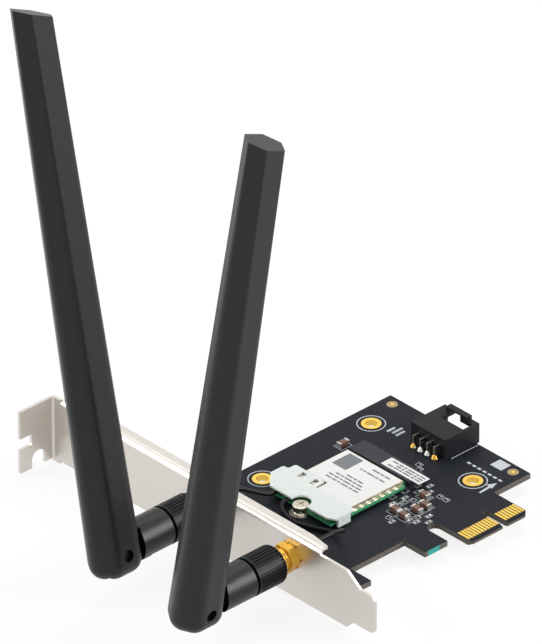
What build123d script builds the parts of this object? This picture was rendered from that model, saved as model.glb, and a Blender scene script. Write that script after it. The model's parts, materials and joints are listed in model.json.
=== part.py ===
from build123d import *
import math
import os

# Plug-in wireless network card with a radio module, a slot bracket and two folding antennas.
# Millimetres. The origin is on the contact edge, at the key notch, halfway through the board.
# X runs from the bracket to the far edge, Y up the card to the screw tab, Z out of the part side.

# Clearances
fit = 0.05
slide_gap = 0.3

# Main board outline
board_thick = 1.57
board_far_x = 21.2
board_top_y = 64.4
board_bracket_gap = 0.95
shoulder_y = 12.7
bridge_y = 11.9
foot_y = 4.4
near_foot_x = -42.9
mid_foot_x = -24.1
mid_foot_width = 7.9
tongue_near_x = -12.15
tongue_far_x = 8.15
tongue_slot_y = 13.0
key_width = 1.9
key_depth = 8.0
bevel_length = 1.2
bevel_rise = 0.45
tongue_corner = 1.1

# Edge contacts, counted from the key notch
contact_pitch = 1.0
contact_width = 0.7
contact_length = 4.1
contact_thick = 0.05
contact_offset = 1.5
contacts_near = 11
contacts_far = 7

# Plated fixing holes and fiducial dots
hole_bore = 3.2
hole_wall = 0.3
hole_pad = 5.3
pad_thick = 0.06
hole_far_inset = 13.1
hole_top_inset = 6.5
hole_span_x = 38.4
hole_span_y = 37.6
dot_diameter = 1.0
dot_inset_x = 2.8
dot_inset_y = 3.5

# Bracket sheet
sheet = 0.86
key_to_bracket = 57.15
bracket_low_z = -3.1
bracket_width = 18.42
bend_y = 107.4
tab_depth = 11.43
tongue_end_y = -12.6
tongue_low_z = -0.7
tongue_width = 10.9
tongue_root = 2.6
tongue_corner_y = -2.5
taper_length = 4.8
tongue_round = 1.6
flange_depth = 3.6
flange_tip_depth = 2.7
flange_low_y = 7.2
flange_taper = 6.0
flange_tab_gap = 3.4
bend_round = 1.6
screw_notch_width = 4.5
screw_notch_x = 5.2
screw_notch_depth = 4.6
tab_slot_depth = 4.0
tab_slot_width = 3.2
tab_slot_z = 5.6
heel_drop = 0.9
heel_length = 3.2
ear_width = 8.5
ear_run = 3.4
ear_ramp = 1.7
ear_reach = 6.4
ear_ys = (12.0, 57.0)
ear_screw_inset = 3.0
ear_screw_bore = 2.7
ear_screw_thread = 2.5
ear_head_diameter = 4.6
ear_head_height = 1.5

# Radio module and its socket
module_near_x = -34.05
module_mid_y = 39.6
module_length = 30.0
module_width = 22.0
module_thick = 0.8
module_lift = 0.8
module_notch = 3.5
module_tongue = 19.85
module_key_width = 1.2
module_key_offset = 6.6
module_insert = 3.85
socket_width = 22.4
socket_depth = 5.6
socket_height = 2.3
socket_lip = 1.3
tail_pitch = 0.5
tail_width = 0.22
tail_count = 34
tail_reach = 1.1
tail_thick = 0.15
sticker_thick = 0.08
sticker_length = 14.0
sticker_width = 3.9
sticker_overhang = 2.6
can_wall = 0.2
can_height = 1.2
can_margin = 0.75
can_inset = 7.6
can_step = 3.65
can_plug_gap = 2.0
can_far_gap = 3.9
label_thick = 0.1
label_margin = 0.25
chip_height = 0.9
chip_side = 7.0

# Standoff and module screw
standoff_diameter = 4.6
standoff_foot = 6.1
standoff_foot_thick = 0.15
standoff_spigot = 3.0
module_thread = 2.0
module_head = 4.5
module_head_height = 1.05
recess_depth = 0.5

# Aerial leads on the radio: receptacles, plugs and the cap over them
plug_can_gap = 2.5
plug_edge = 2.15
plug_spacing = 4.5
plug_diameter = 2.2
plug_height = 1.15
plug_wall = 0.3
receptacle_post = 1.5
receptacle_base = 2.0
receptacle_foot = 0.2
plug_tail_length = 3.4
plug_tail_width = 1.5
lead_diameter = 1.13
lead_lift = 0.62
lead_straight = 3.35
left_lead_run = 7.0
left_lead_rise = 2.6
lead_out = 2.4
right_lead_front = ((-4.45, 2.4, 1.8), (-5.55, -2.6, 0.8), (-3.55, -8.1, 0.75), (-1.25, -13.0, 0.85))
right_lead_climb = ((13.9, 4.6, -5.0), (11.3, 1.0, -1.8), (6.6, 0.0, 0.0))
cap_thick = 0.5
cap_lift = 1.3
cap_front = 0.6
cap_can_gap = 0.3
cap_near_over = 1.25
cap_far_over = 4.25
cap_wall = 0.7
cap_skirt = 3.0
cap_screw_round = 2.75
cap_corner = 2.2
cap_notch = 1.75
cap_lobe = 2.6
cap_wall_gap = 1.5
cap_round = 0.7
cap_window_long = 2.6
cap_window_wide = 1.8

# Aerial jacks in the bracket
jack_ys = (50.2, 18.2)
jack_z = 8.6
jack_thread = 6.35
jack_reach = 10.4
jack_hex = 8.0
jack_flange = 2.0
jack_neck = 5.0
jack_neck_length = 3.2
jack_bore = 4.6
jack_socket = 2.3
washer_thick = 0.5
washer_diameter = 7.6
tooth_gap = 0.8
tooth_depth = 0.25
tooth_count = 12
jack_nut_thick = 2.2
jack_nut_flats = 7.0
pin_diameter = 0.85
pin_proud = 2.0
sleeve_diameter = 3.2
sleeve_length = 2.4

# Shrouded header
header_near_x = 9.9
header_length = 12.1
header_mid_y = 38.65
header_width = 12.7
header_height = 5.75
header_wall = 1.1
header_back = 2.4
header_window_length = 5.1
header_window_low = 0.8
header_window_high = 8.9
strap_length = 1.8
strap_rise = 1.2
strap_thick = 0.55
strap_low = 2.8
strap_high = 10.5
strap_leg = 2.5
pin_pitch = 2.54
pin_count = 4
pin_side = 0.64
pin_z = 3.1
pin_setback = 1.4
pin_tail = 1.6
pin_reach = 8.6
solder_radius = 0.95
solder_height = 0.9

# Chip capacitors and resistors: X, distance from the socket's end or middle, turn
capacitor_size = (3.2, 1.6, 1.35)
capacitor_end = 0.5
resistor_size = (1.0, 0.5, 0.35)
resistor_end = 0.22
capacitors_below = ((-6.2, 5.2, 90), (-9.3, 8.7, 90), (-12.3, 8.8, 90), (-16.4, 5.1, 90),
                    (-16.6, 8.4, 90))
capacitors_above = ((-4.43, 4.43, 0),)
resistors_below = ((-13.6, 3.4, 0), (-11.6, 3.4, 0), (-9.4, 4.2, 0), (-3.2, 7.8, 90),
                   (-3.2, 10.0, 90), (-14.2, 10.8, 0), (-16.6, 10.8, 0), (-19.4, 6.0, 90))
resistors_beside = ((2.0, 6.0, 90), (3.4, 4.4, 90))

# Antenna: coupling nut, plug, barrel
nut_gap = 1.1
nut_length = 9.8
nut_diameter = 10.6
nut_shoulder = 1.2
nut_back_wall = 0.5
insert_diameter = 7.4
rib_count = 36
rib_width = 0.45
rib_depth = 0.35
rib_front = 1.0
rib_back = 0.6
plug_shaft = 4.4
plug_collar = 5.9
plug_collar_thick = 0.8
plug_depth = 1.9
plug_root = 7.0
plug_core = 3.0
socket_contact = 1.27
barrel_length = 8.7
barrel_diameter = 10.5
barrel_round = 0.8
elbow_reach = 8.3
elbow_side_reach = 6.3
tongue_thick = 5.6
hinge_radius = 4.6
boss_diameter = 3.2
boss_length = 1.8

# Antenna paddle, measured from the hinge
paddle_length = 147.7
tip_slope = 0.46
heel_half_u = 8.2
heel_half_v = 6.0
heel_flat = 4.3
heel_corner = 4.2
tip_half_u = 5.95
tip_half_v = 4.0
tip_flat = 3.3
tip_corner = 0.5
heel_depth = 6.1
heel_round = 3.9
paddle_wall = 1.5
cavity_floor = 8.0
cavity_top = 5.0
radiator_length = 118.0
radiator_width = 5.6
radiator_thick = 0.8
antenna_leans = (-10.9, 10.0)
antenna_outs = (0.0, 1.3)

# Places that follow from the sizes above
board_z = board_thick / 2
bracket_in_x = -key_to_bracket
bracket_out_x = bracket_in_x - sheet
bracket_top_z = bracket_low_z + bracket_width
board_near_x = bracket_in_x + board_bracket_gap
ear_top_z = -board_z
ear_screw_x = bracket_out_x + ear_run + ear_ramp + ear_reach - ear_screw_inset
module_low_z = board_z + module_lift
module_top_z = module_low_z + module_thick
module_far_x = module_near_x + module_length
module_low_y = module_mid_y - module_width / 2
module_high_y = module_mid_y + module_width / 2
plug_ys = (module_high_y - plug_edge - plug_spacing, module_high_y - plug_edge)
can_near_x = module_near_x + can_inset
can_step_x = can_near_x + can_step
can_step_y = plug_ys[0] - can_plug_gap
plug_x = can_step_x - plug_can_gap
cap_back_x = can_near_x - cap_can_gap
cap_step_x = can_step_x - cap_can_gap
cap_step_y = can_step_y + cap_can_gap
can_top_z = module_top_z + can_height
cap_top_z = module_top_z + cap_lift + cap_thick
lead_z = module_top_z + lead_lift
socket_far_x = module_far_x + socket_depth - module_insert + socket_lip
socket_near_x = socket_far_x - socket_depth - socket_lip
socket_low_y = module_mid_y - socket_width / 2
socket_high_y = module_mid_y + socket_width / 2
capacitor_places = [(x, socket_low_y - gap, turn) for x, gap, turn in capacitors_below]
capacitor_places += [(x, socket_high_y + gap, turn) for x, gap, turn in capacitors_above]
resistor_places = [(x, socket_low_y - gap, turn) for x, gap, turn in resistors_below]
resistor_places += [(x, module_mid_y - gap, turn) for x, gap, turn in resistors_beside]
jack_end_x = bracket_out_x - jack_reach
jack_tail_x = bracket_in_x + jack_flange + jack_neck_length + sleeve_length
nut_front_x = bracket_out_x - washer_thick - jack_nut_thick - nut_gap
nut_back_x = nut_front_x - nut_length
barrel_back_x = nut_back_x - slide_gap
barrel_front_x = barrel_back_x - barrel_length
elbow_x = barrel_front_x - elbow_reach
fixing_holes = ((board_far_x - hole_far_inset, board_top_y - hole_top_inset),
                (board_far_x - hole_far_inset - hole_span_x, board_top_y - hole_top_inset),
                (board_far_x - hole_far_inset, board_top_y - hole_top_inset - hole_span_y))
fiducials = ((board_far_x - dot_inset_x, board_top_y - dot_inset_y),
             (board_far_x - dot_inset_x, shoulder_y + dot_inset_y))
pin_ys = [header_mid_y + (i - (pin_count - 1) / 2) * pin_pitch for i in range(pin_count)]
pin_x = header_near_x - pin_setback


def block(x0, x1, y0, y1, z0, z1):
    """A box between two corners."""
    centre = Pos((x0 + x1) / 2, (y0 + y1) / 2, (z0 + z1) / 2)
    return centre * Box(x1 - x0, y1 - y0, z1 - z0)


def disc(x, y, z0, z1, diameter):
    """An upright cylinder between two heights."""
    return Pos(x, y, (z0 + z1) / 2) * Cylinder(diameter / 2, z1 - z0)


def plate(points, z0, z1):
    """A flat plate with a straight-sided outline."""
    face = make_face(Polyline(*points, close=True))
    return Pos(0, 0, z0) * extrude(face, amount=z1 - z0)


def turned(points):
    """A piece turned about the X axis from (x, radius) points."""
    face = make_face(Polyline(*points, close=True))
    return revolve(face, axis=Axis.X)


def ring_x(x0, x1, outer, inner):
    """A tube along the X axis."""
    return turned([(x0, inner / 2), (x1, inner / 2), (x1, outer / 2), (x0, outer / 2)])


def rod_x(x0, x1, diameter):
    """A round rod along the X axis."""
    return Pos((x0 + x1) / 2, 0, 0) * Rot(0, 90, 0) * Cylinder(diameter / 2, x1 - x0)


def group(solids):
    """Separate solids that share one node."""
    return Compound([solid for piece in solids for solid in piece.solids()])


def at_jacks(piece):
    """One copy of a piece on each jack's axis."""
    return group([Pos(0, y, jack_z) * piece for y in jack_ys])


# Board
def main_board():
    """The circuit board with its feet, keyed tongue, bevelled edge and holes."""
    mid_foot_end = mid_foot_x + mid_foot_width
    slot_round = (tongue_near_x - mid_foot_end) / 2
    outline = [(board_near_x, foot_y), (near_foot_x, foot_y), (near_foot_x, bridge_y),
               (mid_foot_x, bridge_y), (mid_foot_x, foot_y), (mid_foot_end, foot_y),
               (mid_foot_end, tongue_slot_y - slot_round), (tongue_near_x, tongue_slot_y - slot_round),
               (tongue_near_x, tongue_corner), (tongue_near_x + tongue_corner, 0),
               (tongue_far_x - tongue_corner, 0), (tongue_far_x, tongue_corner),
               (tongue_far_x, shoulder_y), (board_far_x, shoulder_y), (board_far_x, board_top_y),
               (board_near_x, board_top_y)]
    board = plate(outline, -board_z, board_z)
    slot_x = mid_foot_end + slot_round
    board -= disc(slot_x, tongue_slot_y - slot_round, -board_thick, board_thick, 2 * slot_round)
    key_round = key_depth - key_width / 2
    board -= block(-key_width / 2, key_width / 2, -1, key_round, -board_thick, board_thick)
    board -= disc(0, key_round, -board_thick, board_thick, key_width)
    for side in (1, -1):
        outer_z = side * (board_z + fit)
        corners = [(-fit, outer_z), (bevel_length, outer_z), (bevel_length, side * board_z),
                   (-fit, side * (board_z - bevel_rise))]
        wedge = Plane.YZ * make_face(Polyline(*corners, close=True))
        board -= Pos(tongue_near_x, 0, 0) * extrude(wedge, amount=tongue_far_x - tongue_near_x)
    for x, y in fixing_holes:
        board -= disc(x, y, -board_thick, board_thick, hole_bore + 2 * hole_wall)
    for y in ear_ys:
        board -= disc(ear_screw_x, y, -board_thick, board_thick, ear_screw_bore)
    for y in pin_ys:
        board -= disc(pin_x, y, -board_thick, board_thick, pin_side * 1.6)
    return board - disc(module_near_x, module_mid_y, -board_thick, board_thick, standoff_spigot + 2 * fit)


def edge_contacts():
    """Gold fingers on both faces, either side of the key notch."""
    rows = [-contact_offset - i * contact_pitch for i in range(contacts_near)]
    rows += [contact_offset + i * contact_pitch for i in range(contacts_far)]
    fingers = []
    for x in rows:
        for z0 in (board_z, -board_z - contact_thick):
            fingers.append(block(x - contact_width / 2, x + contact_width / 2, bevel_length,
                                 bevel_length + contact_length, z0, z0 + contact_thick))
    return group(fingers)


def plated_holes():
    """Gold eyelets: a thin tube through the board with a pad on each face."""
    eyelets = []
    for x, y in fixing_holes:
        tube = disc(x, y, -board_z - pad_thick, board_z + pad_thick, hole_bore + 2 * hole_wall)
        for z0 in (board_z, -board_z - pad_thick):
            tube += disc(x, y, z0, z0 + pad_thick, hole_pad)
        eyelets.append(tube - disc(x, y, -board_thick, board_thick, hole_bore))
    return group(eyelets)


def fiducial_dots():
    """Bare alignment dots near the far corners."""
    return group([disc(x, y, board_z, board_z + pad_thick, dot_diameter) for x, y in fiducials])


# Bracket
def bracket():
    """One folded sheet: plate, tongue, screw tab, stiffening flange and two joggled ears."""
    tongue_top_z = tongue_low_z + tongue_width
    taper_y = tongue_corner_y - taper_length
    plain_top_z = bracket_top_z - bend_round
    flange_end_y = bend_y - flange_tab_gap
    outline = [(tongue_end_y, tongue_low_z), (tongue_corner_y - tongue_root, tongue_low_z),
               (tongue_corner_y, bracket_low_z), (bend_y - heel_length, bracket_low_z),
               (bend_y - heel_length, bracket_low_z - heel_drop), (bend_y, bracket_low_z - heel_drop),
               (bend_y, bracket_top_z), (flange_end_y, bracket_top_z), (flange_end_y, plain_top_z),
               (tongue_corner_y, plain_top_z), (taper_y, tongue_top_z), (tongue_end_y, tongue_top_z)]
    face = make_face(Polyline(*outline, close=True))
    corners = [v for v in face.vertices() if v.X < tongue_end_y + fit]
    face = fillet(corners, tongue_round)
    steel = Pos(bracket_out_x, 0, 0) * extrude(Plane.YZ * face, amount=sheet)

    flange_x = bracket_out_x + flange_depth
    under_z = bracket_top_z - sheet
    section = [(bracket_out_x, plain_top_z - sheet), (bracket_in_x, plain_top_z - sheet),
               (bracket_in_x, under_z), (flange_x, under_z), (flange_x, bracket_top_z),
               (bracket_out_x, bracket_top_z)]
    bend = make_face(Polyline(*section, close=True))
    bend = fillet(bend.vertices().sort_by_distance((bracket_out_x, bracket_top_z, 0))[0], bend_round)
    bend = fillet(bend.vertices().sort_by_distance((bracket_in_x, under_z, 0))[0], bend_round - sheet)
    flange = Pos(0, flange_end_y, 0) * extrude(Plane.XZ * bend, amount=flange_end_y - flange_low_y)
    taper = [(bracket_out_x + flange_tip_depth, flange_low_y), (flange_x, flange_low_y + flange_taper),
             (flange_x + fit, flange_low_y - fit)]
    steel += flange - plate(taper, under_z - fit, bracket_top_z + fit)
    steel += block(bracket_out_x - tab_depth, bracket_in_x, bend_y - sheet, bend_y,
                   bracket_low_z, bracket_top_z)

    fold = [e for e in steel.edges().filter_by(Axis.Z) if abs(e.center().Y - bend_y) < fit
            and abs(e.center().X - bracket_in_x) < fit]
    steel = fillet(fold, bend_round)
    crease = [e for e in steel.edges().filter_by(Axis.Z) if abs(e.center().Y - bend_y + sheet) < fit
              and abs(e.center().X - bracket_out_x) < fit]
    steel = fillet(crease, bend_round - sheet)

    notch_x = bracket_out_x - screw_notch_x
    notch_round_z = bracket_low_z + screw_notch_depth - screw_notch_width / 2
    half = screw_notch_width / 2
    notch = block(notch_x - half, notch_x + half, bend_y - 2 * sheet, bend_y + sheet,
                  bracket_low_z - sheet, notch_round_z)
    notch += Pos(notch_x, bend_y - sheet / 2, notch_round_z) * Rot(90, 0, 0) * Cylinder(half, 3 * sheet)
    slot_x = bracket_out_x - tab_depth
    slot = block(slot_x - sheet, slot_x + tab_slot_depth, bend_y - 2 * sheet, bend_y + sheet,
                 tab_slot_z - tab_slot_width / 2, tab_slot_z + tab_slot_width / 2)
    steel = steel - notch - slot

    ramp_x = bracket_out_x + ear_run
    shelf_x = ramp_x + ear_ramp
    end_x = shelf_x + ear_reach
    ear = [(bracket_out_x, bracket_low_z), (ramp_x, bracket_low_z), (shelf_x, ear_top_z - sheet),
           (end_x, ear_top_z - sheet), (end_x, ear_top_z), (shelf_x, ear_top_z),
           (ramp_x, bracket_low_z + sheet), (bracket_out_x, bracket_low_z + sheet)]
    ear_face = Plane.XZ * make_face(Polyline(*ear, close=True))
    for y in ear_ys:
        steel += Pos(0, y, 0) * extrude(ear_face, amount=ear_width / 2, both=True)
        steel -= disc(ear_screw_x, y, ear_top_z - 2 * sheet, ear_top_z + fit, ear_screw_thread + 2 * fit)
    hole = rod_x(bracket_out_x - sheet, bracket_in_x + sheet, jack_thread + 2 * fit)
    for y in jack_ys:
        steel -= Pos(0, y, jack_z) * hole
    return steel


def cross_recess(x, y, z_top, length):
    """A plain cross slot in a screw head."""
    arm = 0.45
    z0 = z_top - recess_depth
    z1 = z_top + fit
    slot = block(x - length / 2, x + length / 2, y - arm / 2, y + arm / 2, z0, z1)
    return slot + block(x - arm / 2, x + arm / 2, y - length / 2, y + length / 2, z0, z1)


def bracket_screws():
    """Two screws through the board into the ears."""
    screws = []
    for y in ear_ys:
        head = disc(ear_screw_x, y, board_z, board_z + ear_head_height, ear_head_diameter)
        head = fillet(head.edges().group_by(Axis.Z)[-1], ear_head_height / 2)
        shank = disc(ear_screw_x, y, ear_top_z - sheet, board_z, ear_screw_thread)
        recess = cross_recess(ear_screw_x, y, board_z + ear_head_height, ear_head_diameter / 2)
        screws.append(head + shank - recess)
    return group(screws)


# Radio module
def module_socket():
    """Slot socket: a long housing with a mouth towards the bracket and a shorter upper lip."""
    top_z = board_z + socket_height
    housing = block(socket_near_x, socket_far_x, socket_low_y, socket_high_y, board_z, top_z)
    housing -= block(socket_near_x - fit, socket_near_x + socket_lip, socket_low_y - fit,
                     socket_high_y + fit, module_low_z - fit, top_z + fit)
    mouth = module_tongue / 2 + fit
    housing -= block(socket_near_x - fit, module_far_x + fit, module_mid_y - mouth, module_mid_y + mouth,
                     module_low_z - fit, module_top_z + fit)
    return housing


def socket_contacts():
    """A row of bent solder tails behind the socket."""
    first = module_mid_y - (tail_count - 1) / 2 * tail_pitch
    profile = [(socket_far_x, board_z + tail_reach), (socket_far_x + tail_thick, board_z + tail_reach),
               (socket_far_x + tail_thick, board_z + tail_thick),
               (socket_far_x + tail_reach, board_z + tail_thick), (socket_far_x + tail_reach, board_z),
               (socket_far_x, board_z)]
    tail = extrude(Plane.XZ * make_face(Polyline(*profile, close=True)), amount=tail_width / 2, both=True)
    return group([Pos(0, first + i * tail_pitch, 0) * tail for i in range(tail_count)])


def socket_sticker():
    """A blank sticker on one end of the socket."""
    x1 = socket_far_x - (socket_depth - sticker_width) / 2
    y0 = socket_low_y - sticker_overhang
    z0 = board_z + socket_height
    return block(x1 - sticker_width, x1, y0, y0 + sticker_length, z0, z0 + sticker_thick)


def radio_board():
    """The plug-in radio board with its screw notch, its narrower contact end and its key notch."""
    neck_x = module_far_x - module_insert
    half = module_tongue / 2
    board = block(module_near_x, neck_x, module_low_y, module_high_y, module_low_z, module_top_z)
    board += block(neck_x, module_far_x, module_mid_y - half, module_mid_y + half, module_low_z, module_top_z)
    board -= disc(module_near_x, module_mid_y, module_low_z - 1, module_top_z + 1, module_notch)
    key_y = module_mid_y + module_key_offset
    return board - block(neck_x, module_far_x + fit, key_y - module_key_width / 2,
                         key_y + module_key_width / 2, module_low_z - 1, module_top_z + 1)


def can_outline(inset):
    """The shield can's outline: a rectangle stepped back round the aerial receptacles."""
    far_x = module_far_x - can_far_gap - inset
    low_y = module_low_y + can_margin + inset
    high_y = module_high_y - can_margin - inset
    return [(can_near_x + inset, low_y), (far_x, low_y), (far_x, high_y), (can_step_x + inset, high_y),
            (can_step_x + inset, can_step_y - inset), (can_near_x + inset, can_step_y - inset)]


def radio_shield():
    """A pressed can over the radio chips, open underneath."""
    can = plate(can_outline(0), module_top_z, can_top_z)
    return can - plate(can_outline(can_wall), module_top_z - fit, can_top_z - can_wall)


def radio_chips():
    """Two square chip packages under the can."""
    mid_x = (can_step_x + module_far_x - can_far_gap) / 2
    chips = []
    half = chip_side / 2
    for y in (module_mid_y - chip_side * 0.65, module_mid_y + chip_side * 0.65):
        chips.append(block(mid_x - half, mid_x + half, y - half, y + half, module_top_z,
                           module_top_z + chip_height))
    return group(chips)


def radio_label():
    """A blank label on the can."""
    return plate(can_outline(label_margin), can_top_z, can_top_z + label_thick)


def module_standoff():
    """A threaded standoff that carries the free end of the radio board."""
    post = disc(module_near_x, module_mid_y, board_z, module_low_z, standoff_diameter)
    post = chamfer(post.edges().group_by(Axis.Z)[-1], 0.3)
    post += disc(module_near_x, module_mid_y, board_z, board_z + standoff_foot_thick, standoff_foot)
    post += disc(module_near_x, module_mid_y, -board_z, board_z, standoff_spigot)
    bore = module_thread + 2 * fit
    return post - disc(module_near_x, module_mid_y, -board_z - 1, module_low_z + 1, bore)


def module_screw():
    """A low round-headed screw in the standoff."""
    head_z = module_top_z + module_head_height
    head = disc(module_near_x, module_mid_y, module_top_z, head_z, module_head)
    head = fillet(head.edges().group_by(Axis.Z)[-1], module_head_height / 3)
    shank = disc(module_near_x, module_mid_y, -board_z, module_top_z, module_thread)
    return head + shank - cross_recess(module_near_x, module_mid_y, head_z, module_head / 2)


def radio_receptacles():
    """Two receptacles on the radio board: a foot and a round post."""
    posts = []
    for y in plug_ys:
        half = receptacle_base / 2
        foot_z = module_top_z + receptacle_foot
        foot = block(plug_x - half, plug_x + half, y - half, y + half, module_top_z, foot_z)
        post_z = module_top_z + plug_height - plug_wall - fit
        posts.append(foot + disc(plug_x, y, foot_z, post_z, receptacle_post))
    return group(posts)


def coax_plugs():
    """Two right-angle plugs: a round cup over the post and a crimped tail towards the bracket."""
    plugs = []
    for y in plug_ys:
        top_z = module_top_z + plug_height
        low_z = module_top_z + receptacle_foot + fit
        cup = disc(plug_x, y, low_z, top_z, plug_diameter)
        tail_x = plug_x - plug_tail_length
        cup += block(tail_x, plug_x, y - plug_tail_width / 2, y + plug_tail_width / 2, low_z, top_z)
        cup -= disc(plug_x, y, low_z - fit, top_z - plug_wall, receptacle_post + 2 * fit)
        plugs.append(cup)
    return group(plugs)


def cable_cap():
    """A clear moulded cap over the plugs: a stepped plate with end walls and a bay round the screw."""
    front_x = module_near_x - cap_front
    low_y = module_low_y - cap_near_over
    high_y = module_high_y + cap_far_over
    notch_x = cap_step_x - cap_lobe
    notch_y = high_y - cap_notch
    outline = [(front_x + cap_corner / 2, low_y), (cap_back_x, low_y), (cap_back_x, cap_step_y),
               (cap_step_x, cap_step_y), (cap_step_x, notch_y), (notch_x, notch_y), (notch_x, high_y),
               (front_x + 2 * cap_corner, high_y), (front_x, high_y - 2 * cap_corner),
               (front_x, low_y + cap_corner)]
    face = make_face(Polyline(*outline, close=True))
    face = fillet(face.vertices(), cap_round)
    cap = Pos(0, 0, cap_top_z - cap_thick) * extrude(face, amount=cap_thick)
    wall_x1 = cap_back_x - cap_wall_gap
    wall_z = cap_top_z - cap_skirt
    cap += block(front_x + cap_corner, wall_x1, low_y, low_y + cap_wall, wall_z, cap_top_z)
    cap += block(front_x + 2.5 * cap_corner, notch_x - cap_round, high_y - cap_wall, high_y, wall_z, cap_top_z)
    under_z = cap_top_z - 2 * cap_thick
    cap -= disc(module_near_x, module_mid_y, under_z, cap_top_z + fit, 2 * cap_screw_round)
    for y in plug_ys:
        cap -= block(plug_x - cap_window_long / 2, plug_x + cap_window_long / 2, y - cap_window_wide / 2,
                     y + cap_window_wide / 2, under_z, cap_top_z + fit)
    return cap


def lead(points):
    """A round lead along straight runs joined by arcs as large as the runs allow."""
    route = [Vector(*p) for p in points]
    radii = []
    for before, corner, after in zip(route, route[1:], route[2:]):
        turn = (corner - before).get_angle(after - corner)
        run = min((corner - before).length, (after - corner).length)
        radii.append(0.45 * run / math.tan(math.radians(turn / 2)))
    path = FilletPolyline(*route, radius=radii)
    section = Plane(origin=path @ 0, z_dir=path % 0) * Circle(lead_diameter / 2)
    cord = sweep(section, path=path)
    expected = math.pi * lead_diameter ** 2 / 4 * path.length
    print("lead radii", [round(r, 1) for r in radii], "length", round(path.length, 1),
          "volume ratio", round(cord.volume / expected, 4))
    return cord


def left_lead():
    """The short lead: from the far plug straight over to the left jack."""
    start_x = plug_x - plug_tail_length
    mid_y = (plug_ys[1] + jack_ys[0]) / 2
    return lead([(start_x, plug_ys[1], lead_z), (module_near_x - lead_out, plug_ys[1], lead_z),
                 (module_near_x - left_lead_run, mid_y, lead_z + left_lead_rise),
                 (jack_tail_x + lead_straight, jack_ys[0], jack_z), (jack_tail_x, jack_ys[0], jack_z)])


def right_lead():
    """The long lead: out under the cap, along the radio board's front and up to the right jack."""
    route = [(plug_x - plug_tail_length, plug_ys[0], lead_z),
             (module_near_x - lead_out, plug_ys[0], lead_z)]
    route += [(module_near_x + x, module_mid_y + y, board_z + z) for x, y, z in right_lead_front]
    route += [(jack_tail_x + x, jack_ys[1] + y, jack_z + z) for x, y, z in right_lead_climb]
    return lead(route + [(jack_tail_x, jack_ys[1], jack_z)])


# Aerial jacks
def hexagon_x(x0, x1, flats):
    """A hexagonal prism along the X axis."""
    face = Plane.YZ * RegularPolygon(flats / 2, 6, major_radius=False)
    return Pos(x0, 0, 0) * extrude(face, amount=x1 - x0)


def jack_body(side):
    """A bulkhead jack: hex flange behind the plate, threaded barrel in front, neck for the lead."""
    flange_x = bracket_in_x + jack_flange
    body = hexagon_x(bracket_in_x, flange_x, jack_hex)
    body += rod_x(jack_end_x, bracket_in_x, jack_thread)
    body += rod_x(flange_x, flange_x + jack_neck_length, jack_neck)
    body -= rod_x(jack_end_x - fit, flange_x, jack_bore)
    body -= rod_x(flange_x - fit, flange_x + jack_neck_length + fit, lead_diameter + 2 * fit)
    return Pos(0, jack_ys[side], jack_z) * body


def jack_insulators():
    """White insulators that fill the jacks behind the sockets."""
    hole = pin_diameter + 2 * fit
    return at_jacks(ring_x(jack_end_x + jack_socket, bracket_in_x + jack_flange, jack_bore, hole))


def jack_pins():
    """Centre pins standing proud of the insulators."""
    return at_jacks(rod_x(jack_end_x + jack_socket - pin_proud, bracket_in_x + jack_flange, pin_diameter))


def jack_washers():
    """Toothed lock washers between the plate and the hex nuts."""
    washer = ring_x(bracket_out_x - washer_thick, bracket_out_x, washer_diameter, jack_thread + 2 * fit)
    rim = Pos(bracket_out_x - washer_thick / 2, 0, washer_diameter / 2)
    cut = rim * Box(2 * washer_thick, tooth_gap, 2 * tooth_depth)
    for i in range(tooth_count):
        washer -= Rot(360 / tooth_count * i, 0, 0) * cut
    return at_jacks(washer)


def jack_nuts():
    """Hex nuts that clamp the jacks to the plate."""
    x1 = bracket_out_x - washer_thick
    x0 = x1 - jack_nut_thick
    return at_jacks(hexagon_x(x0, x1, jack_nut_flats) - rod_x(x0 - fit, x1 + fit, jack_thread + 2 * fit))


def crimp_sleeves():
    """Sleeves that clamp the leads to the jacks."""
    x0 = bracket_in_x + jack_flange + jack_neck_length
    return at_jacks(ring_x(x0, x0 + sleeve_length, sleeve_diameter, lead_diameter + 2 * fit))


# Header
def usb_header():
    """A shrouded header that opens past the far edge, with a roof window and a strap over its mouth."""
    x1 = header_near_x + header_length
    y0 = header_mid_y - header_width / 2
    y1 = header_mid_y + header_width / 2
    top_z = board_z + header_height
    housing = block(header_near_x, x1, y0, y1, board_z, top_z)
    housing -= block(header_near_x + header_back, x1 + fit, y0 + header_wall, y1 - header_wall,
                     board_z + header_wall, top_z - header_wall)
    strap_x = x1 - strap_length
    leg_y = y0 + strap_low + strap_leg
    wall_z = top_z - header_wall
    housing += block(strap_x, x1, y0 + strap_low, y0 + strap_high, wall_z, top_z + strap_rise)
    housing -= block(strap_x - fit, x1 + fit, leg_y, y0 + header_window_high, wall_z - fit,
                     top_z + strap_rise - strap_thick)
    housing -= block(x1 - header_window_length, strap_x, y0 + header_window_low, y0 + header_window_high,
                     wall_z - fit, top_z + fit)
    half = pin_side / 2
    level = board_z + pin_z
    for y in pin_ys:
        housing -= block(header_near_x - fit, header_near_x + header_back + fit, y - half, y + half,
                         level - half, level + half)
    return housing


def header_pins():
    """Square pins bent down behind the header and through the board."""
    pins = []
    half = pin_side / 2
    level = board_z + pin_z
    end_x = header_near_x + pin_reach
    tail_z = -board_z - pin_tail
    for y in pin_ys:
        pin = block(pin_x - half, end_x, y - half, y + half, level - half, level + half)
        pins.append(pin + block(pin_x - half, pin_x + half, y - half, y + half, tail_z, level))
    return group(pins)


def solder_cones():
    """Solder fillets round the header pins."""
    cones = []
    half = pin_side / 2
    cone = Cone(solder_radius, pin_side * 0.8, solder_height)
    cone -= block(-half, half, -half, half, -solder_height, solder_height)
    for y in pin_ys:
        cones.append(Pos(pin_x, y, board_z + solder_height / 2) * cone)
    return group(cones)


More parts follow.
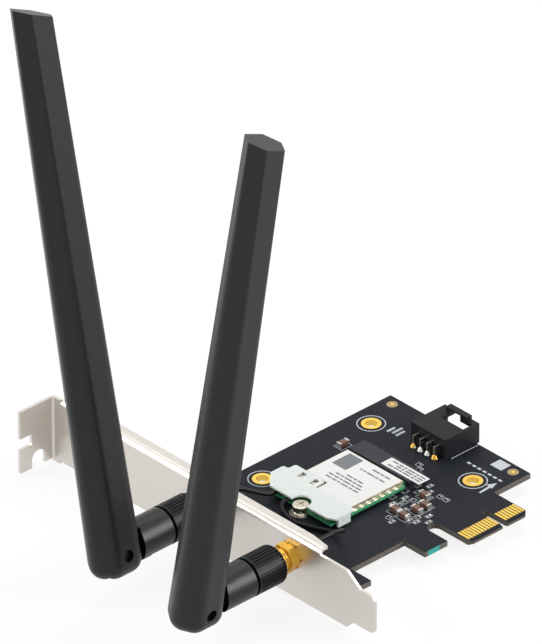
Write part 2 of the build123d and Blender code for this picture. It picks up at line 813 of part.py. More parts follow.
# Chip parts
def chip_parts(places, size, end, ends):
    """The bodies, or the end caps, of the chip parts at the given places."""
    length, width, height = size
    chips = []
    for x, y, turn in places:
        if ends:
            for side in (-1, 1):
                cap = Pos(side * (length - end) / 2, 0, height / 2) * Box(end, width, height)
                chips.append(Pos(x, y, board_z) * Rot(0, 0, turn) * cap)
        else:
            body = Pos(0, 0, height * 0.49) * Box(length - 2 * end, width * 0.96, height * 0.98)
            chips.append(Pos(x, y, board_z) * Rot(0, 0, turn) * body)
    return group(chips)


# Antennas: each piece is built upright about the elbow and then leaned about the jack's axis
def place(piece, side):
    """Move an antenna piece to its jack, at its lean and as far out as its nut is turned back."""
    return Pos(-antenna_outs[side], jack_ys[side], jack_z) * Rot(antenna_leans[side], 0, 0) * piece


def coupling_nut():
    """The grip sleeve of the coupling nut, with ribs along it and a rounded front."""
    radius = nut_diameter / 2
    inner = insert_diameter / 2
    sleeve = ring_x(nut_back_x, nut_front_x, nut_diameter, insert_diameter)
    front = sleeve.edges().group_by(Axis.X)[-1].sort_by(SortBy.LENGTH)[-1]
    sleeve = fillet(front, min(nut_shoulder, 0.9 * (radius - inner)))
    grooves = []
    for i in range(rib_count):
        groove = block(nut_back_x + rib_back, nut_front_x - rib_front, -rib_width / 2, rib_width / 2,
                       radius - rib_depth, radius + rib_depth)
        grooves.append(Rot(i * 360 / rib_count, 0, 0) * groove)
    return sleeve - grooves


def nut_insert():
    """The threaded metal insert of the coupling nut, with a back wall that the plug collar pulls on."""
    bore = jack_thread / 2 + fit
    wall_x = nut_back_x + nut_back_wall
    hole = plug_shaft / 2 + 2 * fit
    return turned([(nut_back_x, hole), (wall_x, hole), (wall_x, bore), (nut_front_x, bore),
                   (nut_front_x, insert_diameter / 2), (nut_back_x, insert_diameter / 2)])


def plug_body():
    """The plug's metal body: a collar behind the nut's back wall and a nose in the jack's socket."""
    shaft = plug_shaft / 2
    core = plug_core / 2
    collar_x = nut_back_x + nut_back_wall + 2 * fit
    nose_x = jack_end_x + plug_depth
    root_x = barrel_back_x - plug_root
    front_x = collar_x + plug_collar_thick
    return turned([(root_x, core), (nose_x, core), (nose_x, shaft), (front_x, shaft),
                   (front_x, plug_collar / 2), (collar_x, plug_collar / 2), (collar_x, shaft),
                   (root_x, shaft)])


def plug_insulator():
    """The insulator inside the plug body."""
    return ring_x(barrel_back_x - plug_root, jack_end_x + plug_depth, plug_core, socket_contact)


def plug_contact():
    """The centre contact: a rod with a socket for the jack's pin."""
    nose_x = jack_end_x + plug_depth
    rod = rod_x(barrel_back_x - plug_root, nose_x, socket_contact)
    socket_x = jack_end_x + jack_socket - pin_proud - slide_gap
    return rod - rod_x(socket_x, nose_x + fit, pin_diameter + 2 * fit)


def barrel():
    """The swivel barrel: a round body hollowed round the paddle, a flat hinge tongue and two bosses."""
    body = rod_x(elbow_x, barrel_back_x, barrel_diameter)
    body = fillet(body.edges().filter_by(GeomType.CIRCLE).sort_by(Axis.X)[-1], barrel_round)
    half = tongue_thick / 2
    slot = half + slide_gap
    side = barrel_diameter / 2 + fit
    sweep_edge = [(0, -side), (elbow_side_reach, -side), (elbow_reach, -slot), (elbow_reach, slot),
                  (elbow_side_reach, side), (0, side)]
    hollow = revolve(make_face(Polyline(*sweep_edge, close=True)), axis=Axis.Y)
    body -= Pos(elbow_x, 0, 0) * hollow
    root_x = barrel_front_x + 2 * barrel_round
    hinge = Pos(elbow_x, 0, 0) * Rot(90, 0, 0)
    tongue = block(elbow_x, root_x, -half, half, -hinge_radius, hinge_radius)
    tongue += hinge * Cylinder(hinge_radius, tongue_thick)
    bosses = hinge * Cylinder(boss_diameter / 2, tongue_thick + 2 * boss_length)
    bore = rod_x(barrel_back_x - plug_root, barrel_back_x + fit, plug_shaft)
    return body + tongue + bosses - bore


def paddle_face(level, half_u, half_v, flat, corner):
    """The paddle's six-sided section at one height above the hinge."""
    points = [(half_u, 0), (flat, half_v), (-flat, half_v), (-half_u, 0), (-flat, -half_v),
              (flat, -half_v)]
    face = make_face(Polyline(*points, close=True))
    return Pos(0, 0, level) * fillet(face.vertices(), corner)


def paddle():
    """The hollow paddle: round at the hinge, faceted at the tip, with a fork for the barrel's tongue."""
    top = paddle_length + tip_half_u * tip_slope
    heel = paddle_face(-heel_depth, heel_half_u, heel_half_v, heel_flat, heel_corner)
    tip = paddle_face(top, tip_half_u, tip_half_v, tip_flat, tip_corner)
    shell = loft([heel, tip])
    reach = 2 * heel_half_u
    slope = math.degrees(math.atan(tip_slope))
    above = Pos(0, 0, reach) * Box(4 * reach, 4 * reach, 2 * reach)
    shell -= Pos(0, 0, paddle_length) * Rot(0, slope, 0) * above

    shell = fillet(shell.edges().group_by(Axis.Z)[0], heel_round)

    lower = paddle_face(cavity_floor, heel_half_u - paddle_wall, heel_half_v - paddle_wall,
                        heel_flat - paddle_wall, heel_corner - paddle_wall)
    upper = paddle_face(paddle_length - cavity_top, tip_half_u - paddle_wall, tip_half_v - paddle_wall,
                        tip_flat - paddle_wall, tip_corner / 2)
    shell -= loft([lower, upper])

    clear = hinge_radius + slide_gap
    half = tongue_thick / 2 + slide_gap
    fork = block(-clear, reach, -half, half, -reach, barrel_diameter / 2 + slide_gap)
    corner = [e for e in fork.edges().filter_by(Axis.Y) if e.center().X < 0 < e.center().Z]
    shell -= fillet(corner, hinge_radius)
    shell -= Rot(90, 0, 0) * Cylinder(boss_diameter / 2 + fit, 4 * heel_half_v)
    return Pos(elbow_x, 0, 0) * shell


def radiator():
    """The radiating strip that stands on the floor of the paddle's cavity."""
    strip = block(-radiator_width / 2, radiator_width / 2, -radiator_thick / 2, radiator_thick / 2,
                  cavity_floor, cavity_floor + radiator_length)
    return Pos(elbow_x, 0, 0) * strip


# All pieces by node name
pieces = {
    "main_board": main_board(),
    "edge_contacts": edge_contacts(),
    "plated_holes": plated_holes(),
    "fiducial_dots": fiducial_dots(),
    "bracket": bracket(),
    "bracket_screws": bracket_screws(),
    "module_socket": module_socket(),
    "socket_contacts": socket_contacts(),
    "socket_sticker": socket_sticker(),
    "radio_board": radio_board(),
    "radio_shield": radio_shield(),
    "radio_chips": radio_chips(),
    "radio_label": radio_label(),
    "radio_receptacles": radio_receptacles(),
    "coax_plugs": coax_plugs(),
    "cable_cap": cable_cap(),
    "module_standoff": module_standoff(),
    "module_screw": module_screw(),
    "left_lead": left_lead(),
    "right_lead": right_lead(),
    "left_jack": jack_body(0),
    "right_jack": jack_body(1),
    "jack_insulators": jack_insulators(),
    "jack_pins": jack_pins(),
    "jack_washers": jack_washers(),
    "jack_nuts": jack_nuts(),
    "crimp_sleeves": crimp_sleeves(),
    "usb_header": usb_header(),
    "header_pins": header_pins(),
    "solder_cones": solder_cones(),
    "capacitor_bodies": chip_parts(capacitor_places, capacitor_size, capacitor_end, False),
    "capacitor_ends": chip_parts(capacitor_places, capacitor_size, capacitor_end, True),
    "resistor_bodies": chip_parts(resistor_places, resistor_size, resistor_end, False),
    "resistor_ends": chip_parts(resistor_places, resistor_size, resistor_end, True),
}
antenna_pieces = {
    "coupling_nut": coupling_nut(),
    "nut_insert": nut_insert(),
    "plug_body": plug_body(),
    "plug_insulator": plug_insulator(),
    "plug_contact": plug_contact(),
    "barrel": barrel(),
    "paddle": paddle(),
    "radiator": radiator(),
}
for side, name in enumerate(("left", "right")):
    for node, piece in antenna_pieces.items():
        pieces[name + "_" + node] = place(piece, side)

os.makedirs("parts", exist_ok=True)
for node, piece in pieces.items():
    export_step(piece, "parts/" + node + ".step")
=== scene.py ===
# %% [markdown]
# # A plug-in wireless network card
#
# The card is a small black circuit board on a folded steel bracket. A radio module lies flat on the
# board, and two folding antennas screw onto gold jacks in the bracket. The solid model already has
# every rigid piece at its true size, so this lesson gives the pieces their finishes, adds the printed
# ink, the threads and the print on the labels, and sets up the light and the camera.

# %% Load the solid model
import json
import math

import bmesh
import bpy
from mathutils import Matrix, Vector


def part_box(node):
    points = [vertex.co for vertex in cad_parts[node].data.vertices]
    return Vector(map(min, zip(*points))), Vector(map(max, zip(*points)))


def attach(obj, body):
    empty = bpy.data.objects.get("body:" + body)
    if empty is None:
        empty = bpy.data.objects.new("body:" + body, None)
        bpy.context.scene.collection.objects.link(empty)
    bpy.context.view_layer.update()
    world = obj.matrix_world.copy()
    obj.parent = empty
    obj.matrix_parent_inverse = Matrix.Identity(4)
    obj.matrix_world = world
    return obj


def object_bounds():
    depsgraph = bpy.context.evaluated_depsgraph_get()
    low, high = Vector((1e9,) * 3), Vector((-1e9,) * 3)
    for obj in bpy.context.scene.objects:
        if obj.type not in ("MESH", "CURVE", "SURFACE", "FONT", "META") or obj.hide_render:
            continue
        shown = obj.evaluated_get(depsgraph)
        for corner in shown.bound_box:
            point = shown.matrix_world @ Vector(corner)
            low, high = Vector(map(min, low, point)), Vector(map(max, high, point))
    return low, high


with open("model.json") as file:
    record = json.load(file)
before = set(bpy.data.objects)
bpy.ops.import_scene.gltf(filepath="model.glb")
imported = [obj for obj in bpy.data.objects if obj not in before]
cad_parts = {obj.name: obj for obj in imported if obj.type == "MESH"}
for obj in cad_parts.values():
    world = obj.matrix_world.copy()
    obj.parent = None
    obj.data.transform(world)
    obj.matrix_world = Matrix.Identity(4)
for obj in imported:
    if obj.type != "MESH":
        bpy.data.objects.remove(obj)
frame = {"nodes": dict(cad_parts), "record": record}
solids = frame["nodes"]
cad_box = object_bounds()
print("solid pieces:", len(solids))

# %% [markdown]
# ## Small helpers
#
# Colours are written as they look on a screen, in hex, and one function turns them into the linear
# values that Blender works in. Another adds a shader node with its settings and its links in one line,
# so that each finish below reads like a recipe. The rest start a finish with its main shader, roughen
# it with a grain of a real size, and put it on the pieces.

# %% Helpers for the finishes
MM = 0.001


def colour(hex_text):
    """Linear colour, with alpha, from a screen colour such as 1c1e23."""
    parts = [int(hex_text[i:i + 2], 16) / 255 for i in (0, 2, 4)]
    linear = [c / 12.92 if c <= 0.04045 else ((c + 0.055) / 1.055) ** 2.4 for c in parts]
    return (*linear, 1.0)


def add(tree, kind, values=None, links=None, **settings):
    """Add a node, set its options, fill its sockets and link earlier sockets into it."""
    made = tree.nodes.new(kind)
    for name, value in settings.items():
        setattr(made, name, value)
    for socket, value in (values or {}).items():
        made.inputs[socket].default_value = value
    for socket, source in (links or {}).items():
        tree.links.new(source, made.inputs[socket])
    return made


def start_finish(name, base, roughness, metallic=0.0, **sockets):
    """A new material with one main shader; returns the material, its node tree and the shader."""
    finish = bpy.data.materials.new(name)
    finish.use_nodes = True
    tree = finish.node_tree
    shader = tree.nodes["Principled BSDF"]
    shader.inputs["Base Color"].default_value = colour(base)
    shader.inputs["Roughness"].default_value = roughness
    shader.inputs["Metallic"].default_value = metallic
    for socket, value in sockets.items():
        shader.inputs[socket.replace("_", " ").title().replace("Ior", "IOR")].default_value = value
    return finish, tree, shader


def grain(tree, shader, size_mm, depth_mm, low, high):
    """A fine noise of one real size: it varies the roughness a little and dents the surface."""
    place = add(tree, "ShaderNodeTexCoord")
    noise = add(tree, "ShaderNodeTexNoise", {"Scale": 1 / (size_mm * MM), "Detail": 3.0},
                {"Vector": place.outputs["Object"]})
    rough = add(tree, "ShaderNodeMapRange",
                {"From Min": 0.3, "From Max": 0.7, "To Min": low, "To Max": high},
                {"Value": noise.outputs["Fac"]})
    dent = add(tree, "ShaderNodeBump", {"Distance": depth_mm * MM, "Strength": 1.0},
               {"Height": noise.outputs["Fac"]})
    tree.links.new(rough.outputs["Result"], shader.inputs["Roughness"])
    tree.links.new(dent.outputs["Normal"], shader.inputs["Normal"])
    return noise


def plain_finish(name, base, low, high, size_mm, depth_mm, **sockets):
    """A finish of one colour whose roughness runs from low to high in a fine grain."""
    finish, tree, shader = start_finish(name, base, (low + high) / 2, **sockets)
    grain(tree, shader, size_mm, depth_mm, low, high)
    return finish


def dress(finish, *nodes):
    """Put one finish on the named solid pieces."""
    for node in nodes:
        solids[node].data.materials.clear()
        solids[node].data.materials.append(finish)
    print(finish.name, "on", len(nodes), "pieces")


# %% [markdown]
# ## Moulded ABS for the antennas
#
# The antennas are moulded in black ABS with a spark-eroded skin: a fine, even grain that breaks the
# shine into a soft sheen. The real grain is under a tenth of a millimetre, so it is drawn a little
# coarser, at a fifth of a millimetre, to show at all. The plastic reflects little, so its edges go
# nearly black and only the wide lamps lift its facets.

# %% Antenna plastic
moulded_abs = plain_finish("moulded_abs", "0b0c10", 0.34, 0.44, 0.2, 0.008, specular_ior_level=0.35)
dress(moulded_abs, "left_paddle", "right_paddle", "left_barrel", "right_barrel")
nut_abs = plain_finish("nut_abs", "101114", 0.32, 0.44, 0.25, 0.01, specular_ior_level=0.18)
dress(nut_abs, "left_coupling_nut", "right_coupling_nut")

# %% [markdown]
# ## Black solder mask on glass-fibre board
#
# The board is glass cloth in resin. Its faces wear a blue-black lacquer, the solder mask, with a low
# gloss. Its routed edges show the bare laminate, a dull grey-brown. One material does both: the
# direction of the surface, read from the object's own normal, picks lacquer or laminate.

# %% Solder mask and laminate
def laminate(name, mask, edge, weave_tint, rough, shine):
    """Board material: lacquer on the two faces, bare laminate on the routed edges."""
    finish, tree, shader = start_finish(name, mask, rough, specular_ior_level=shine)
    noise = grain(tree, shader, 0.6, 0.004, rough - 0.05, rough + 0.08)
    facing = add(tree, "ShaderNodeTexCoord")
    parts = add(tree, "ShaderNodeSeparateXYZ", links={"Vector": facing.outputs["Normal"]})
    upright = add(tree, "ShaderNodeMath", links={0: parts.outputs["Z"]}, operation="ABSOLUTE")
    is_face = add(tree, "ShaderNodeMath", {1: 0.6}, {0: upright.outputs[0]}, operation="GREATER_THAN")
    weave = add(tree, "ShaderNodeMix", {"A": colour(edge), "B": colour(weave_tint)},
                {"Factor": noise.outputs["Fac"]}, data_type="RGBA")
    tint = add(tree, "ShaderNodeMix", {"B": colour(mask)},
               {"Factor": is_face.outputs[0], "A": weave.outputs["Result"]}, data_type="RGBA")
    tree.links.new(tint.outputs["Result"], shader.inputs["Base Color"])
    return finish


dress(laminate("black_solder_mask", "161920", "46443d", "6b645e", 0.52, 0.14), "main_board")
dress(laminate("green_solder_mask", "17703f", "2f8a5c", "4a9a70", 0.3, 0.4), "radio_board")

# %% [markdown]
# ## Metals
#
# The contacts and jacks are plated with hard gold, the bracket is mild steel with bright nickel, and
# the small ends of the chips are dipped in tin. All are plain metals: metallic is one, the colour is
# the metal's own, and a fine noise stands for the slight unevenness of plating. Flat plated pads are
# a paler, duller gold than the turned jacks, which are polished by the cutting tool.

# %% Gold, nickel and tin
pad_gold = plain_finish("pad_gold", "ecc861", 0.36, 0.46, 0.5, 0.001, metallic=1.0)
jack_gold = plain_finish("jack_gold", "dcae4a", 0.26, 0.34, 0.6, 0.0004, metallic=1.0)
bright_nickel = plain_finish("bright_nickel", "d2cdc6", 0.34, 0.4, 2.0, 0.0002, metallic=1.0)
screw_nickel = plain_finish("screw_nickel", "cfc9bb", 0.22, 0.34, 0.3, 0.002, metallic=1.0)
dipped_tin = plain_finish("dipped_tin", "d0d0cd", 0.28, 0.4, 0.3, 0.004, metallic=1.0)
pressed_tinplate = plain_finish("pressed_tinplate", "d0c4b2", 0.35, 0.45, 0.5, 0.002, metallic=1.0)
copper_strip = plain_finish("copper_strip", "c98a5e", 0.3, 0.4, 0.4, 0.002, metallic=1.0)
dress(pad_gold, "edge_contacts", "plated_holes", "fiducial_dots", "radio_receptacles")
dress(jack_gold, "left_jack", "right_jack", "jack_nuts", "jack_washers", "jack_pins", "crimp_sleeves",
      "left_nut_insert", "right_nut_insert", "left_plug_body", "right_plug_body", "left_plug_contact",
      "right_plug_contact")
dress(bright_nickel, "bracket")
dress(screw_nickel, "bracket_screws", "module_screw", "module_standoff", "coax_plugs", "header_pins")
dress(dipped_tin, "socket_contacts", "capacitor_ends", "resistor_ends")
dress(pressed_tinplate, "radio_shield")
dress(copper_strip, "left_radiator", "right_radiator")

# %% [markdown]
# ## Solder cones
#
# Each pin of the header ends in a cone of solder. The outer two wet gold pads and look brassy, the
# middle two are plain tin. One material covers the row: it picks brass or tin by the distance from the
# middle of the row.

# %% Brass and tin cones
cone_solder, tree, shader = start_finish("cone_solder", "cfcfcb", 0.32, metallic=1.0)
grain(tree, shader, 0.3, 0.004, 0.26, 0.38)
low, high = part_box("solder_cones")
place = add(tree, "ShaderNodeTexCoord")
parts = add(tree, "ShaderNodeSeparateXYZ", links={"Vector": place.outputs["Object"]})
away = add(tree, "ShaderNodeMath", {1: (low.y + high.y) / 2}, {0: parts.outputs["Y"]},
           operation="SUBTRACT")
reach = add(tree, "ShaderNodeMath", links={0: away.outputs[0]}, operation="ABSOLUTE")
outer = add(tree, "ShaderNodeMath", {1: (high.y - low.y) * 0.33}, {0: reach.outputs[0]},
            operation="GREATER_THAN")
tint = add(tree, "ShaderNodeMix", {"A": colour("d4d4d0"), "B": colour("cfa64c")},
           {"Factor": outer.outputs[0]}, data_type="RGBA")
tree.links.new(tint.outputs["Result"], shader.inputs["Base Color"])
dress(cone_solder, "solder_cones")

# %% [markdown]
# ## Plastics, paper and ceramic
#
# The header and the socket are black glass-filled nylon, duller than the antennas. The cap over the
# plugs is unpigmented nylon, milky rather than clear, so light passes into it and scatters. Labels are
# coated paper. Chip capacitors are brown ceramic, and the leads have a smooth black sheath.

# %% Moulded nylon, paper, ceramic and sheath
filled_nylon = plain_finish("filled_nylon", "15161a", 0.44, 0.56, 0.3, 0.008, specular_ior_level=0.2)
socket_nylon = plain_finish("socket_nylon", "23252d", 0.45, 0.56, 0.3, 0.006, specular_ior_level=0.3)
milky_nylon = plain_finish("milky_nylon", "eef3f0", 0.3, 0.4, 0.4, 0.004, transmission_weight=0.3,
                           subsurface_weight=0.25, subsurface_radius=(MM, MM, MM))
coated_paper = plain_finish("coated_paper", "dadad8", 0.52, 0.68, 0.15, 0.003)
chip_ceramic = plain_finish("chip_ceramic", "6d4f40", 0.42, 0.58, 0.2, 0.006)
moulded_epoxy = plain_finish("moulded_epoxy", "17181a", 0.48, 0.62, 0.12, 0.004)
lead_sheath = plain_finish("lead_sheath", "0c0d0f", 0.3, 0.42, 0.4, 0.004, specular_ior_level=0.18)
white_ptfe = plain_finish("white_ptfe", "d9d9d4", 0.45, 0.55, 0.2, 0.003)
dress(filled_nylon, "usb_header")
dress(socket_nylon, "module_socket")
dress(milky_nylon, "cable_cap")
dress(coated_paper, "radio_label", "socket_sticker")
dress(chip_ceramic, "capacitor_bodies")
dress(moulded_epoxy, "radio_chips", "resistor_bodies")
dress(lead_sheath, "left_lead", "right_lead")
dress(white_ptfe, "jack_insulators", "left_plug_insulator", "right_plug_insulator")
print("pieces with no finish:", [name for name, piece in solids.items() if not piece.data.materials])

# %% [markdown]
# ## Threads on the jacks
#
# The jacks carry a fine thread, 36 turns to the inch, and a few turns stay bare between the clamp nut
# and the antenna's own nut. The solid has a plain cylinder there. A ridge of triangular section is swept
# round it in a helix, with its foot a hair inside the cylinder so that no gap shows.

# %% Helical ridges
THREAD_PITCH = 25.4 / 36 * MM
TURN_STEPS = 28


def thread_ridge(name, jack, nut):
    """One ridge on the bare part of a jack, between the clamp nut and the antenna's nut."""
    low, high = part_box(jack)
    mid_y, mid_z = (low.y + high.y) / 2, (low.z + high.z) / 2
    start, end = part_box(nut)[1].x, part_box("jack_nuts")[0].x
    outside = [v.co for v in solids[jack].data.vertices if v.co.x < end]
    radius = max(math.hypot(co.y - mid_y, co.z - mid_z) for co in outside)
    steps = int((end - start - THREAD_PITCH) / THREAD_PITCH * TURN_STEPS)
    if steps < 1:
        print(name, "has no bare length")
        return
    section = ((-0.45 * THREAD_PITCH, -0.02 * MM), (0, 0.1 * MM), (0.45 * THREAD_PITCH, -0.02 * MM))
    points, faces = [], []
    for i in range(steps + 1):
        turn = 2 * math.pi * i / TURN_STEPS
        middle = start + THREAD_PITCH * (0.5 + i / TURN_STEPS)
        for shift, rise in section:
            r = radius + rise
            points.append((middle + shift, mid_y + r * math.cos(turn), mid_z + r * math.sin(turn)))
    for i in range(steps):
        for a, b in ((0, 1), (1, 2), (2, 0)):
            faces.append((3 * i + a, 3 * i + b, 3 * i + 3 + b, 3 * i + 3 + a))
    faces += [(0, 2, 1), (3 * steps, 3 * steps + 1, 3 * steps + 2)]
    mesh = bpy.data.meshes.new(name)
    mesh.from_pydata(points, [], faces)
    mesh.materials.append(jack_gold)
    ridge = bpy.data.objects.new(name, mesh)
    bpy.context.scene.collection.objects.link(ridge)
    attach(ridge, "card")
    print(name, "turns:", round(steps / TURN_STEPS, 1), "radius mm:", round(radius / MM, 2))


thread_ridge("left_thread", "left_jack", "left_coupling_nut")
thread_ridge("right_thread", "right_jack", "right_coupling_nut")

# %% [markdown]
# ## Ink on the board
#
# White ink is screen-printed on the lacquer: rings round the fixing holes, outlines round the small
# parts, an arrow and a few plain bars. Each mark is a flat polygon lying a hair above the lacquer, and
# all the marks of one kind are one mesh. Words are left out, and short plain bars stand in their place.

# %% Ink helpers
white_ink = plain_finish("white_ink", "b9bdc3", 0.55, 0.7, 0.25, 0.003)
grey_ink = plain_finish("grey_ink", "6d7074", 0.55, 0.7, 0.2, 0.002)
teal_ink = plain_finish("teal_ink", "1a8f87", 0.5, 0.62, 0.3, 0.003)
tan_laminate = plain_finish("tan_laminate", "a08a62", 0.5, 0.62, 0.3, 0.003)
INK_LIFT = 0.012
board_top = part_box("main_board")[1].z / MM


def flat_marks(name, polygons, finish, level):
    """One mesh of flat polygons, given in millimetres, at one height; it rides with the card."""
    mesh = bpy.data.meshes.new(name)
    build = bmesh.new()
    for points in polygons:
        build.faces.new([build.verts.new((x * MM, y * MM, level * MM)) for x, y in points])
    build.normal_update()
    for face in build.faces:
        if face.normal.z < 0:
            face.normal_flip()
    build.to_mesh(mesh)
    build.free()
    mesh.materials.append(finish)
    piece = bpy.data.objects.new(name, mesh)
    bpy.context.scene.collection.objects.link(piece)
    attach(piece, "card")
    print(name, "marks:", len(polygons))


def ring(x, y, outer, inner, steps=48):
    """The quads of a flat ring."""
    quads = []
    for i in range(steps):
        a, b = (2 * math.pi * k / steps for k in (i, i + 1))
        quads.append([(x + r * math.cos(t), y + r * math.sin(t))
                      for r, t in ((inner, a), (outer, a), (outer, b), (inner, b))])
    return quads


def bar(x0, y0, x1, y1, width):
    """A straight bar of ink between two points."""
    along = Vector((x1 - x0, y1 - y0)).normalized() * width / 2
    side = Vector((-along.y, along.x))
    return [(x0 + side.x, y0 + side.y), (x0 - side.x, y0 - side.y), (x1 - side.x, y1 - side.y),
            (x1 + side.x, y1 + side.y)]


def outline(x0, x1, y0, y1, width):
    """A rectangle drawn with four bars."""
    return [bar(x0, y0, x1, y0, width), bar(x1, y0, x1, y1, width), bar(x1, y1, x0, y1, width),
            bar(x0, y1, x0, y0, width)]


def islands(node):
    """The plan box, in millimetres, of each separate solid of a node, as (x0, x1, y0, y1)."""
    build = bmesh.new()
    build.from_mesh(solids[node].data)
    bmesh.ops.remove_doubles(build, verts=build.verts, dist=1e-6)
    left, boxes = set(build.verts), []
    while left:
        todo, found = [left.pop()], []
        while todo:
            point = todo.pop()
            found.append(point.co.copy())
            for edge in point.link_edges:
                other = edge.other_vert(point)
                if other in left:
                    left.discard(other)
                    todo.append(other)
        xs, ys = [co.x / MM for co in found], [co.y / MM for co in found]
        boxes.append((min(xs), max(xs), min(ys), max(ys)))
    build.free()
    return boxes


# %% Rings, bars and arrow
marks = []
for mount in frame["record"]["mounts"]:
    if mount["name"].startswith("hole_"):
        marks += ring(mount["pos_m"][0] / MM, mount["pos_m"][1] / MM, 3.85, 3.55)
marks.append([(16.6, 18.8), (20.2, 18.8), (20.2, 22.8), (16.6, 22.8)])
marks.append([(5.4, 14.7), (9.0, 14.9), (8.9, 14.3), (11.8, 15.2), (9.2, 16.6), (9.2, 15.7), (5.3, 15.3)])
marks.append(bar(11.3, 31.6, 21.0, 31.6, 0.3))
for i in range(7):
    marks.append(bar(13.2, 27.6 - 1.9 * i, 13.2, 26.4 - 1.9 * i, 0.7))
for i, (start, end) in enumerate(((8.6, 11.8), (8.8, 12.4), (8.4, 11.2))):
    marks.append(bar(start, 49.3 + 1.5 * i, end, 49.3 + 1.5 * i, 0.8))
for node, margin in (("capacitor_bodies", 0.75), ("resistor_bodies", 0.5)):
    for x0, x1, y0, y1 in islands(node):
        marks += outline(x0 - margin, x1 + margin, y0 - margin, y1 + margin, 0.16)
flat_marks("board_ink", marks, white_ink, board_top + INK_LIFT)

# %% [markdown]
# ## Clearings round the fiducial dots
#
# A placing machine finds the board by two small gold dots, so the lacquer is kept clear of them and the
# bare laminate shows as a tan ring. A flat ring on the lacquer gives the same look.

# %% Bare laminate round the fiducial dots
clearings = []
for x0, x1, y0, y1 in islands("fiducial_dots"):
    clearings += ring((x0 + x1) / 2, (y0 + y1) / 2, 1.5, (x1 - x0) / 2)
flat_marks("fiducial_clearings", clearings, tan_laminate, board_top + INK_LIFT)

# %% [markdown]
# ## Print on the labels
#
# The two labels carry rows of print on the real card. Here plain grey bars of uneven length stand for
# the rows, and one plain block for the printed square, so nothing can be read from them.

# %% Rows of bars
def print_row(x, y0, y1):
    """One row of print along y: plain bars of uneven length with small gaps."""
    bars, y, i = [], y0, 0
    while y < y1 - 0.6:
        stop = min(y + (1.9, 1.2, 2.6, 0.9, 1.6)[i % 5], y1)
        bars.append(bar(x, y, x, stop, 0.55))
        y, i = stop + 0.35, i + 1
    return bars


low, high = (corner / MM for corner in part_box("radio_label"))
rows = []
for inset, start, end in ((1.8, 10.7, 17.6), (3.8, 8.8, 17.6), (8.2, 8.4, 14.3), (9.5, 5.6, 15.4),
                          (10.8, 4.6, 16.2), (12.1, 4.0, 16.6)):
    rows += print_row(high.x - inset, high.y - end, high.y - start)
block = [(high.x - x, high.y - y) for x, y in ((0.6, 1.6), (7.0, 1.6), (7.0, 6.6), (0.6, 6.6))]
flat_marks("label_rows", rows + [block], grey_ink, high.z + INK_LIFT)
low, high = (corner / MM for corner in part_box("socket_sticker"))
rows = []
for i, end in enumerate((0.9, 0.75, 0.9)):
    rows += print_row(low.x + (0.25 + 0.25 * i) * (high.x - low.x), low.y + 0.6,
                      low.y + end * (high.y - low.y))
flat_marks("sticker_rows", rows, grey_ink, high.z + INK_LIFT)

# %% [markdown]
# ## Empty places, pads and a paint mark
#
# Beside the fitted parts the board has a cluster of empty places for small parts: a printed outline with
# two tinned pads in it. They lie in slanting rows, and a place is left out where a fitted part stands.
# The radio board has a row of tinned pads along its open edge. One foot of the main board carries a dab
# of teal paint on its end, from the panel the board was cut from.

# %% Places, pads and paint
taken = islands("capacitor_bodies") + islands("resistor_bodies")
frames, pads = [], []
for i in range(7):
    for j in range(4):
        along, aside = 2.0 * i - 6.0, 2.2 * j - 3.2
        x, y = -11.0 + along + aside, 23.4 + along - aside
        if any(x0 - 1.5 < x < x1 + 1.5 and y0 - 0.8 < y < y1 + 0.8 for x0, x1, y0, y1 in taken):
            continue
        frames += outline(x - 0.95, x + 0.95, y - 0.55, y + 0.55, 0.14)
        pads += [bar(x + side - 0.25, y, x + side + 0.25, y, 0.6) for side in (-0.5, 0.5)]
flat_marks("empty_places", frames, white_ink, board_top + INK_LIFT)
flat_marks("tinned_pads", pads, dipped_tin, board_top + INK_LIFT)
low, high = (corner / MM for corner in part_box("radio_board"))
near, far = (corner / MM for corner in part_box("radio_shield"))
edge_pads = [bar(near.x + 1 + 2.4 * i, low.y + 0.38, near.x + 2 + 2.4 * i, low.y + 0.38, 0.36)
             for i in range(int((far.x - near.x - 2) / 2.4) + 1)]
flat_marks("radio_edge_pads", edge_pads, dipped_tin, high.z + INK_LIFT)
low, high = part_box("main_board")
FOOT_END = 4.4
paint_y = (FOOT_END - INK_LIFT) * MM
paint_mesh = bpy.data.meshes.new("edge_paint")
paint_mesh.from_pydata([(x * MM, paint_y, z) for x, z in ((-23.0, low.z), (-19.1, low.z), (-19.1, high.z),
                                                        (-23.0, high.z))], [], [(0, 1, 2, 3)])
paint_mesh.materials.append(teal_ink)
paint = bpy.data.objects.new("edge_paint", paint_mesh)
bpy.context.scene.collection.objects.link(paint)
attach(paint, "card")

# %% [markdown]
# ## Light, floor and camera
#
# The photograph is a studio picture on white, taken from far away with a long lens, so the edges of the
# card stay nearly parallel. A pale floor takes a soft shadow, three wide lamps give the broad sheen on
# the antennas, and the camera stands where the card's known sizes put it.

# %% Floor and world
def bright_rays(tree):
    """One where a ray comes from the camera, a reflection or a clear piece, and nought elsewhere."""
    rays = add(tree, "ShaderNodeLightPath")
    seen = add(tree, "ShaderNodeMath", operation="MAXIMUM",
               links={0: rays.outputs["Is Camera Ray"], 1: rays.outputs["Is Glossy Ray"]})
    return add(tree, "ShaderNodeMath", operation="MAXIMUM",
               links={0: seen.outputs[0], 1: rays.outputs["Is Transmission Ray"]})


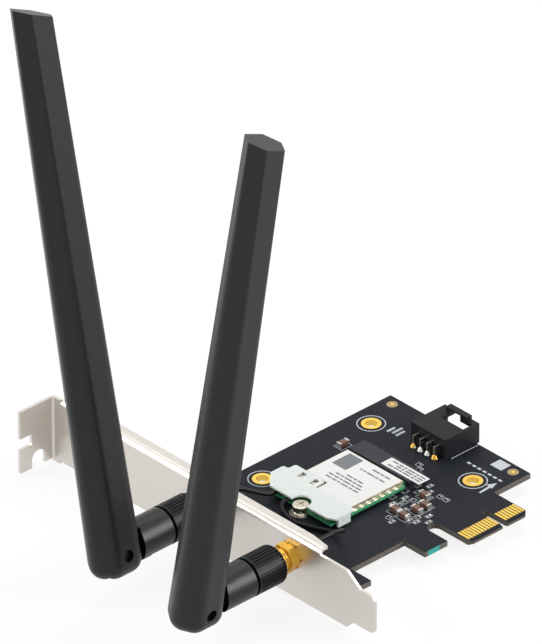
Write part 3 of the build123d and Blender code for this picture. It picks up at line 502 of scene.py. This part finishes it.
FLOOR_HALF = 4.0
floor_mesh = bpy.data.meshes.new("floor")
corners = [(x * FLOOR_HALF, y * FLOOR_HALF, 0) for x, y in ((-1, -1), (1, -1), (1, 1), (-1, 1))]
floor_mesh.from_pydata(corners, [], [(0, 1, 2, 3)])
floor = bpy.data.objects.new("floor", floor_mesh)
floor.location.z = cad_box[0].z
bpy.context.scene.collection.objects.link(floor)
pale_floor, tree, shader = start_finish("pale_floor", "f4f4f4", 0.9)
share = add(tree, "ShaderNodeMath", {1: 0.85}, {0: bright_rays(tree).outputs[0]}, operation="MULTIPLY")
glow = add(tree, "ShaderNodeEmission", {"Color": (1, 1, 1, 1), "Strength": 1.0})
mixed = add(tree, "ShaderNodeMixShader",
            links={0: share.outputs[0], 1: shader.outputs[0], 2: glow.outputs[0]})
tree.links.new(mixed.outputs[0], tree.nodes["Material Output"].inputs["Surface"])
floor_mesh.materials.append(pale_floor)

world = bpy.data.worlds.new("studio")
bpy.context.scene.world = world
world.use_nodes = True
tree = world.node_tree
backdrop = tree.nodes["Background"]
backdrop.inputs["Color"].default_value = (1, 1, 1, 1)
strength = add(tree, "ShaderNodeMapRange", {"To Min": 0.4, "To Max": 1.0},
               {"Value": bright_rays(tree).outputs[0]})
tree.links.new(strength.outputs["Result"], backdrop.inputs["Strength"])


# %% Lamps
def softbox(name, place, aim, size, power):
    """A square lamp that points at one spot."""
    lamp = bpy.data.lights.new(name, "AREA")
    lamp.size = size
    lamp.energy = power
    holder = bpy.data.objects.new(name, lamp)
    holder.location = place
    holder.rotation_euler = (Vector(aim) - Vector(place)).to_track_quat("-Z", "Y").to_euler()
    bpy.context.scene.collection.objects.link(holder)


middle = (-0.03, 0.03, 0.05)
softbox("left_softbox", (-0.7, 0.6, 0.28), middle, 0.6, 7.0)
softbox("right_softbox", (0.6, -0.7, 0.45), middle, 0.6, 11.0)
softbox("top_softbox", (0.2, 0.3, 1.1), middle, 0.8, 4.5)

# %% Camera
across = Vector((0.72884, -0.68468, -0.00244))
ahead = Vector((0.58077, 0.62011, -0.52741))
up = Vector((0.36262, 0.38298, 0.84961))
camera_data = bpy.data.cameras.new("camera")
camera_data.lens = 12000 / 644 * 36
camera_data.sensor_width = 36
camera_data.clip_end = 20
camera = bpy.data.objects.new("camera", camera_data)
turned = Matrix((across, up, -ahead)).transposed().to_4x4()
camera.matrix_world = Matrix.Translation((-1.79262, -1.82722, 1.64981)) @ turned
bpy.context.scene.collection.objects.link(camera)
bpy.context.scene.camera = camera
bpy.context.scene.view_settings.view_transform = "Standard"
